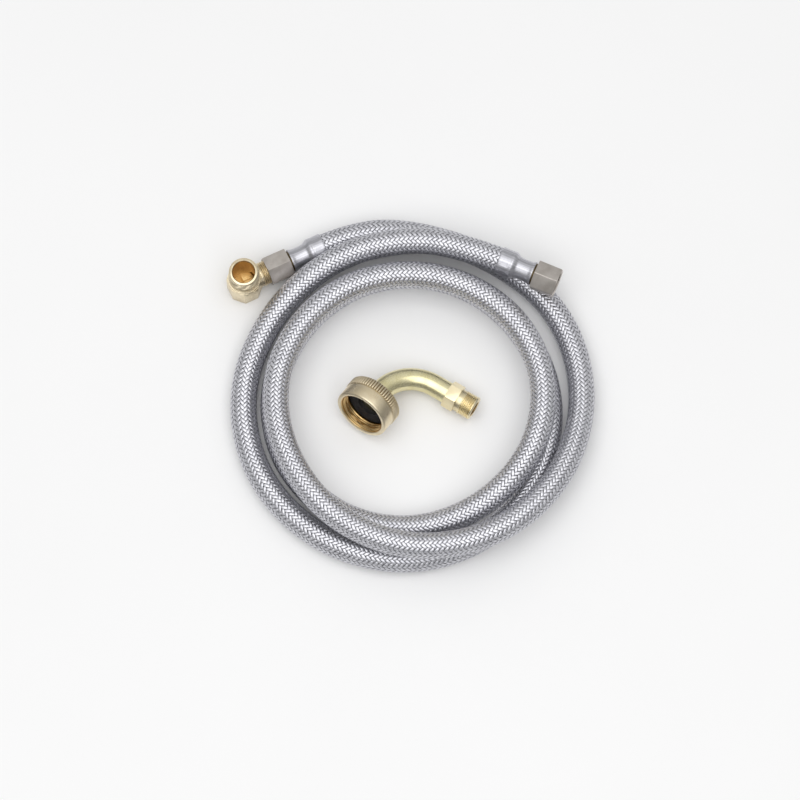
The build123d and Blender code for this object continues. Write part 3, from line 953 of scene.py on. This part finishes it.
steel = braid_steel()
ferrule_steel = drawn_steel("ferrule_steel", (0.46, 0.46, 0.49), (0.64, 0.64, 0.68), 0.4)
nickel = metal_with_painted_shade("nut_nickel", (0.50, 0.46, 0.42), (0.60, 0.56, 0.52), 0.34, grain=3200.0)
brass = metal_with_painted_shade("brass", (0.74, 0.63, 0.43), (0.82, 0.72, 0.52), 0.3, inside=PAINTED_BORE_SHADE)
tube_brass = metal_with_painted_shade("tube_brass", (0.76, 0.69, 0.40), (0.84, 0.78, 0.50), 0.26)
thread_brass = metal_with_painted_shade("thread_brass", (0.86, 0.74, 0.47), (0.92, 0.82, 0.56), 0.3, inside=PAINTED_BORE_SHADE)
# painted shade: near black brass for the inserts, standing for the shaded gap at each nut
gap_shade_brass = metal_with_painted_shade("gap_shade_brass", (0.09, 0.07, 0.035), (0.15, 0.11, 0.055), 0.5)
black_rubber = rubber("black_rubber", (0.018, 0.018, 0.02), 0.6)
liner_rubber = rubber("liner_rubber", (0.05, 0.05, 0.052), 0.55)

# Hose
braid = make_braid(hose)
liner = make_liner(hose)
for piece in braid:
    finish_piece(piece, "hose", "hose_braid", steel)
finish_piece(liner, "hose", "hose_inner_tube", liner_rubber)

# Fittings at its two ends
left_axes = fitting_axes(route[0], route[0] - route[1])
right_axes = fitting_axes(route[-1], route[-1] - route[-2])
on_hose = []
for side, axes in (("left", left_axes), ("right", right_axes)):
    ferrule = make_ferrule(f"{side}_crimp_ferrule", axes)
    on_hose.append(finish_piece(ferrule, "hose", f"{side}_ferrule", ferrule_steel))
    # inserts painted near black: painted shade of the gap between nut and ferrule
    coat(nodes[f"{side}_insert"], gap_shade_brass)
    coat(nodes[f"{side}_cone_washer"], black_rubber)
    on_hose += [nodes[f"{side}_insert"], nodes[f"{side}_cone_washer"]]
left_nut = make_hex_nut("left_nut_hexagon", LEFT_NUT_TURN, left_axes, threaded=False)
finish_piece(left_nut, "left_nut", "left_hex_nut", nickel)
right_nut = make_hex_nut("right_nut_hexagon", RIGHT_NUT_TURN, right_axes, threaded=True)
finish_piece(right_nut, "right_nut", "right_hex_nut", nickel)
inlet = make_pipe_elbow("inlet_elbow_brass")
finish_piece(inlet, "inlet_elbow", "pipe_elbow", brass)

# Loose elbow
mouth_centre, mouth_axis, mouth_length = mount_place("garden_hose_nut_mouth")
mouth = fitting_axes(mouth_centre + mouth_axis * mouth_length / 2, mouth_axis)
swivel = make_swivel_nut("garden_hose_nut", mouth)
finish_piece(swivel, "loose_elbow_nut", "adapter_swivel_nut", brass)
thread_centre, thread_axis, thread_length = mount_place("loose_elbow_thread")
tip = fitting_axes(thread_centre + thread_axis * (thread_length / 2 + MALE_TIP_CHAMFER), thread_axis)
male = make_male_end("loose_elbow_male_end", tip)
finish_piece(male, "loose_elbow", "adapter_male_end", thread_brass)
coat(nodes["adapter_tube"], tube_brass)
coat(nodes["adapter_washer"], black_rubber)

make_camera()
make_floor()
make_lamp()
make_surround()
